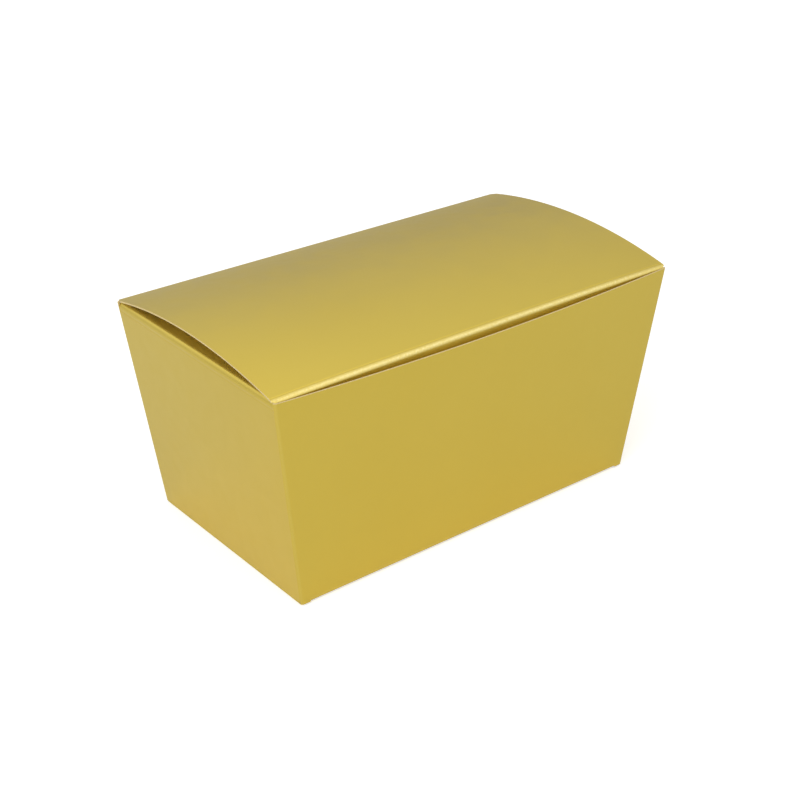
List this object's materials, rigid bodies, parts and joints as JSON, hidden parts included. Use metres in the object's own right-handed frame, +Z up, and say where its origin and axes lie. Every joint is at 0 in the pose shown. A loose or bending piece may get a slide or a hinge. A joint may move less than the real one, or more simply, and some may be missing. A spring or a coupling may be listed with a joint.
{
  "type": "candy box",
  "caption": "Plain gold ballotin candy box of foil-faced board: tapered walls, arched lid with a tuck flap, dust flaps and a glued automatic base.",
  "frame": {"origin": "on the ground, under the middle of the closed box's outline", "axes": "+X along the long side to the right, +Y from the front panel to the lid's crease at the back, +Z up"},
  "size_m": [0.1444, 0.0818, 0.0732],
  "materials": {
    "foil_board": "satin gold foil laminate outside, white inside and at cut edges"
  },
  "bodies": {
    "box": {"front_panel": "foil_board", "back_panel": "foil_board", "left_end_panel": "foil_board", "right_end_panel": "foil_board", "seam_tab": "foil_board", "front_base_flap": "foil_board", "back_base_flap": "foil_board", "left_base_flap": "foil_board", "right_base_flap": "foil_board", "left_glue_corner": "foil_board", "right_glue_corner": "foil_board"},
    "lid": {"lid_panel": "foil_board"},
    "tuck": {"tuck_flap": "foil_board"},
    "left_dust": {"left_dust_flap": "foil_board"},
    "right_dust": {"right_dust_flap": "foil_board"}
  },
  "joints": [
    {"name": "lid_crease", "type": "hinge", "parent": "box", "child": "lid", "pos_m": [0, 0.04072, 0.06849], "axis": [-1, 0, 0], "range_deg": [0, 200]},
    {"name": "tuck_crease", "type": "hinge", "parent": "lid", "child": "tuck", "pos_m": [0, -0.03694, 0.06794], "axis": [-1, 0, 0], "range_deg": [0, 80]},
    {"name": "left_dust_crease", "type": "hinge", "parent": "box", "child": "left_dust", "pos_m": [-0.07178, 0, 0.06737], "axis": [0, -1, 0], "range_deg": [0, 100]},
    {"name": "right_dust_crease", "type": "hinge", "parent": "box", "child": "right_dust", "pos_m": [0.07178, 0, 0.06737], "axis": [0, 1, 0], "range_deg": [0, 100]}
  ],
  "couplings": [
    {"joint": "tuck_crease", "follows": "lid_crease", "ratio": 0.4},
    {"joint": "left_dust_crease", "follows": "lid_crease", "ratio": 0.5},
    {"joint": "right_dust_crease", "follows": "lid_crease", "ratio": 0.5}
  ]
}
